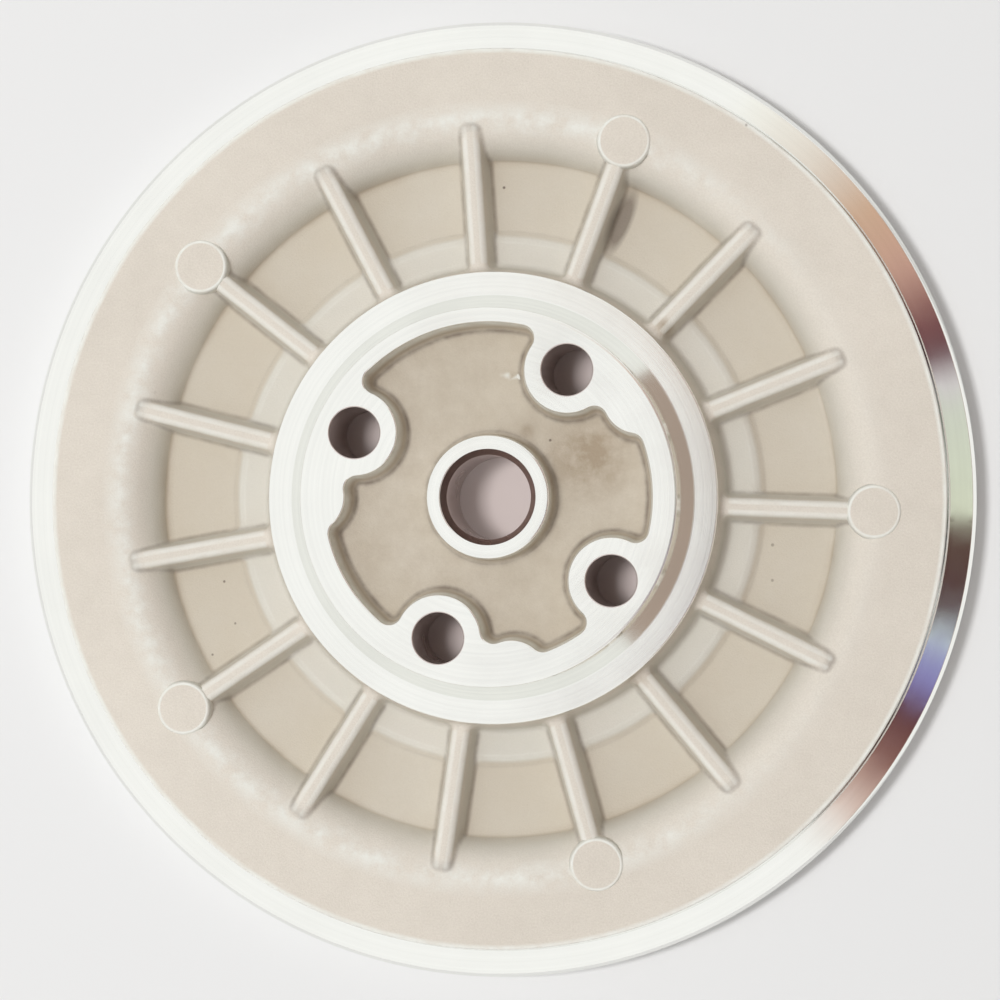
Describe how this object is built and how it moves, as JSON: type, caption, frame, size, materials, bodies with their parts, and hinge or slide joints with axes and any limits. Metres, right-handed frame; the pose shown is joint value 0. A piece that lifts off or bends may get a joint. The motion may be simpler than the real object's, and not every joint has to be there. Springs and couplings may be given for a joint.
{
  "type": "turbo seal plate",
  "caption": "Cast and machined seal plate that closes a turbocharger compressor housing: ribbed disc, hub pocket with bolt bosses, shaft bore and turned rim.",
  "frame": {"origin": "centre of the shaft bore at the machined back face", "axes": "+Z along the bore out of the ribbed face, +X from the axis to the right in the picture"},
  "size_m": [0.16, 0.16, 0.018],
  "materials": {
    "cast_aluminium": "as cast, turned bright on rim, hub and back"
  },
  "bodies": {
    "root": {"seal_plate": "cast_aluminium"}
  },
  "joints": []
}
